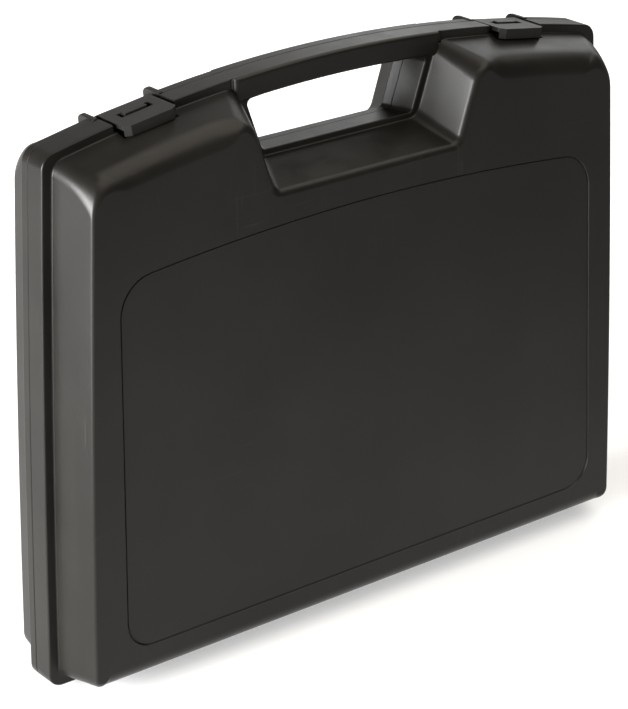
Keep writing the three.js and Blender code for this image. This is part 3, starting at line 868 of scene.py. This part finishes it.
def moulded_plastic(name, dark, light, rough_low, rough_high, grain, grain_depth):
    """Moulded plastic: faint cloudiness, fine grain, faint scuffs."""
    made, nodes, links, shader, place = material(name)
    cloud = noise(nodes, links, place, 14, 4)
    fine = noise(nodes, links, place, grain, 4)
    scuff = noise(nodes, links, place, 60, 6, (1, 1, 0.12))
    marks = add(nodes, links, scratches(nodes, links, place, (1, 1, 0.03)), scratches(nodes, links, place, (0.04, 1, 1)))
    base = blend_colour(nodes, links, ramp(nodes, links, cloud, 0.3, 0.7, 0, 1), dark, light)
    worn = blend_colour(nodes, links, marks, light, tuple(1.6 * c for c in light))
    links.new(base, worn.node.inputs["A"])
    links.new(worn, shader.inputs["Base Color"])
    rough = ramp(nodes, links, scuff, 0.35, 0.75, rough_low, rough_high)
    links.new(add(nodes, links, rough, ramp(nodes, links, marks, 0, 1, 0, 0.09)), shader.inputs["Roughness"])
    normal = bump(nodes, links, fine, grain_depth, 0.5)
    links.new(bump(nodes, links, cloud, 0.0004, 0.25, normal), shader.inputs["Normal"])
    shader.inputs["Specular IOR Level"].default_value = 0.2
    return made


def steel(name):
    made, nodes, links, shader, place = material(name)
    shader.inputs["Metallic"].default_value = 1
    lathe = noise(nodes, links, place, 900, 3, (0.2, 1, 1))
    links.new(blend_colour(nodes, links, lathe, (0.42, 0.42, 0.41), (0.62, 0.62, 0.6)), shader.inputs["Base Color"])
    links.new(ramp(nodes, links, lathe, 0.3, 0.7, 0.22, 0.38), shader.inputs["Roughness"])
    links.new(bump(nodes, links, lathe, 0.00004, 0.4), shader.inputs["Normal"])
    return made


def foam_material(name):
    made, nodes, links, shader, place = material(name)
    cells = nodes.new("ShaderNodeTexVoronoi")
    cells.inputs["Scale"].default_value = 900
    links.new(place.outputs["Object"], cells.inputs["Vector"])
    cloud = noise(nodes, links, place, 40, 4)
    links.new(blend_colour(nodes, links, cloud, (0.028, 0.028, 0.03), (0.05, 0.05, 0.053)), shader.inputs["Base Color"])
    shader.inputs["Roughness"].default_value = 0.95
    links.new(bump(nodes, links, cells.outputs["Distance"], 0.0006, 0.8), shader.inputs["Normal"])
    shader.inputs["Sheen Weight"].default_value = 0.3
    return made


# ---------------------------------------------------------------- placing the pieces


def finish_piece(solid, name, body, node, look, angle=32):
    """Moves a solid into the frame, smooths it, gives it its material and its body."""
    solid.name = name
    solid.data.transform(Matrix.Translation((0, Y_SHIFT * MM, 0)) @ Matrix.Scale(MM, 4))
    solid.data.polygons.foreach_set("use_smooth", [True] * len(solid.data.polygons))
    solid.data.set_sharp_from_angle(angle=math.radians(angle))
    weighted = solid.modifiers.new("normals", "WEIGHTED_NORMAL")
    weighted.keep_sharp = True
    weighted.weight = 100
    solid.data.materials.clear()
    solid.data.materials.append(look)
    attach(solid, body)
    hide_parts(node)
    return solid


def make_pieces():
    shell = moulded_plastic("shell_plastic", (0.0045, 0.004, 0.0033), (0.008, 0.0072, 0.0062), 0.3, 0.4, 1400, 0.00006)
    latch = moulded_plastic("latch_plastic", (0.007, 0.0065, 0.006), (0.011, 0.0105, 0.01), 0.3, 0.4, 1600, 0.00005)
    pin = steel("pin_steel")
    grey = moulded_plastic("tray_plastic", (0.03, 0.031, 0.033), (0.042, 0.043, 0.045), 0.45, 0.55, 1400, 0.00006)
    light = moulded_plastic("divider_plastic", (0.06, 0.062, 0.065), (0.08, 0.082, 0.085), 0.45, 0.55, 1500, 0.00006)
    foam = foam_material("foam")
    rubber = moulded_plastic("foot_rubber", (0.010, 0.010, 0.010), (0.018, 0.018, 0.018), 0.7, 0.9, 900, 0.0001)
    finish_piece(front_shell(), "shell_front_fine", "front_case", "front_shell", shell)
    finish_piece(back_shell(), "shell_back_fine", "lid", "back_shell", shell)
    for name, side in (("left", -1), ("right", 1)):
        finish_piece(latch_solid(side), f"latch_{name}_fine", f"latch_{name}", f"latch_{name}", latch)
        finish_piece(latch_pin(side), f"latch_pin_{name}_fine", "lid", f"latch_pin_{name}", pin)
        front_profile = [(-20, 0), (-1.5, 0), (-1.5, 4.7), (-13.6, 4.7), (-13.6, 8.6), (-20, 8.6)]
        back_profile = [(8, 0), (18, 0), (18, 8.6), (8, 8.6)]
        finish_piece(foot_solid(front_profile, side), f"foot_front_{name}_fine", "front_case",
                     f"foot_front_{name}", rubber)
        finish_piece(foot_solid(back_profile, side), f"foot_back_{name}_fine", "lid",
                     f"foot_back_{name}", rubber)
    for name, x in HINGE_XS.items():
        finish_piece(hinge_pin(x), f"hinge_pin_{name}_fine", "front_case", f"hinge_pin_{name}", pin)
    finish_piece(tray_solid(), "tray_fine", "tray", "tray", grey)
    for i, x in enumerate(DIVIDERS_MIDDLE):
        finish_piece(divider_solid(x, *TRAY_ROWS), f"divider_middle_{i + 1}_fine", "tray",
                     f"tray_divider_middle_{i + 1}", light)
    for i, x in enumerate(DIVIDERS_UPPER):
        finish_piece(divider_solid(x, TRAY_ROWS[1], 292), f"divider_upper_{i + 1}_fine", "tray",
                     f"tray_divider_upper_{i + 1}", light)
    pad = finish_piece(foam_solid(), "foam_pad_fine", "lid", "lid_foam_pad", foam)


# ---------------------------------------------------------------- stage, light and camera


def make_floor():
    mesh = bpy.data.meshes.new("floor")
    size = 8
    rows = [(-size, 0)]
    rows += [(y, 0) for y in (0, 4.0)]
    for i in range(1, 13):
        angle = math.pi / 2 * i / 12
        rows.append((4.0 + 2.0 * math.sin(angle), 2.0 * (1 - math.cos(angle))))
    rows.append((6.0, size))
    turn = math.radians(37.544)
    points = []
    for y, z in rows:
        for x in (-size, size):
            points.append((x * math.cos(turn) + y * math.sin(turn), -x * math.sin(turn) + y * math.cos(turn), z))
    faces = [(2 * i, 2 * i + 1, 2 * i + 3, 2 * i + 2) for i in range(len(rows) - 1)]
    mesh.from_pydata(points, [], faces)
    mesh.polygons.foreach_set("use_smooth", [True] * len(mesh.polygons))
    floor = bpy.data.objects.new("floor", mesh)
    bpy.context.scene.collection.objects.link(floor)
    made, nodes, links, shader, place = material("floor_paper")
    shader.inputs["Roughness"].default_value = 0.9
    shader.inputs["Emission Color"].default_value = (1, 1, 1, 1)
    height = nodes.new("ShaderNodeSeparateXYZ")
    links.new(place.outputs["Object"], height.inputs[0])
    across = along(nodes, links, place, (math.cos(turn), -math.sin(turn), 0))
    depth = along(nodes, links, place, (math.sin(turn), math.cos(turn), 0))
    # Painted light: the floor glows. The glow is painted fainter to the camera's right, a little fainter far to the
    # left, fainter in front than behind, and fainter up the backdrop.
    right = ramp(nodes, links, across, 0.2, 0.6, 1, 0.2)
    left = ramp(nodes, links, across, -0.8, -0.3, 0.8, 1)
    far = ramp(nodes, links, depth, 0.2, 0.8, 0.4, 0.9)
    low = ramp(nodes, links, height.outputs["Z"], 0.5, 2.4, 1, 0.25)
    glow = multiply(nodes, links, multiply(nodes, links, right, left), multiply(nodes, links, far, low))
    links.new(glow, shader.inputs["Emission Strength"])
    # Painted shade: the floor's colour is painted darker towards the camera's right.
    links.new(blend_colour(nodes, links, right, (0.35, 0.35, 0.35), (0.55, 0.55, 0.55)), shader.inputs["Base Color"])
    floor.data.materials.append(made)


def make_light(name, place, target, size, power, colour=(1, 1, 1)):
    data = bpy.data.lights.new(name, "AREA")
    data.shape = "RECTANGLE"
    data.size, data.size_y = size
    data.energy = power
    data.color = colour
    lamp = bpy.data.objects.new(name, data)
    lamp.location = place
    direction = Vector(target) - Vector(place)
    lamp.rotation_euler = direction.to_track_quat("-Z", "Y").to_euler()
    lamp.visible_camera = False
    bpy.context.scene.collection.objects.link(lamp)
    return lamp


def make_lights():
    world = bpy.data.worlds.new("studio")
    world.use_nodes = True
    world.node_tree.nodes["Background"].inputs["Color"].default_value = (1, 0.95, 0.88, 1)
    world.node_tree.nodes["Background"].inputs["Strength"].default_value = 0.2
    bpy.context.scene.world = world
    bpy.context.scene.view_settings.view_transform = "Standard"
    make_light("left", (-1.9, -0.1, 0.42), (0, 0, 0.15), (1.3, 0.8), 185)
    make_light("right", (1.5, 0.9, 1.25), (0, 0, 0.2), (1.4, 1.2), 10)
    make_light("top", (0.5, -0.6, 2.0), (0, -0.1, 0), (2.6, 1.6), 34, (1, 0.93, 0.82))
    make_light("spark", (-1.35, -1.05, 0.7), (0, 0, 0.2), (0.2, 0.3), 2.5)


def make_camera():
    """The camera of the reference view, from its azimuth, elevation, roll and distance."""
    azimuth, elevation, roll = map(math.radians, (37.544, 23.272, -0.487))
    ca, sa, ce, se = math.cos(azimuth), math.sin(azimuth), math.cos(elevation), math.sin(elevation)
    right = Vector((ca, -sa, 0))
    up = Vector((sa * se, ca * se, ce))
    forward = Vector((sa * ce, ca * ce, -se))
    right, up = (right * math.cos(roll) + up * math.sin(roll), up * math.cos(roll) - right * math.sin(roll))
    place = Vector((0, 7.25, 146.4)) - 6.426 * right - 2.262 * up - 1475.95 * forward
    data = bpy.data.cameras.new("camera")
    data.sensor_width = 36
    data.lens = 2610.64 / 709 * 36
    data.clip_start = 0.05
    camera = bpy.data.objects.new("camera", data)
    turn = Matrix((right, up, -forward)).transposed().to_4x4()
    camera.matrix_world = Matrix.Translation(place * MM) @ turn
    bpy.context.scene.collection.objects.link(camera)
    bpy.context.scene.camera = camera


make_camera()
make_floor()
make_lights()
make_pieces()
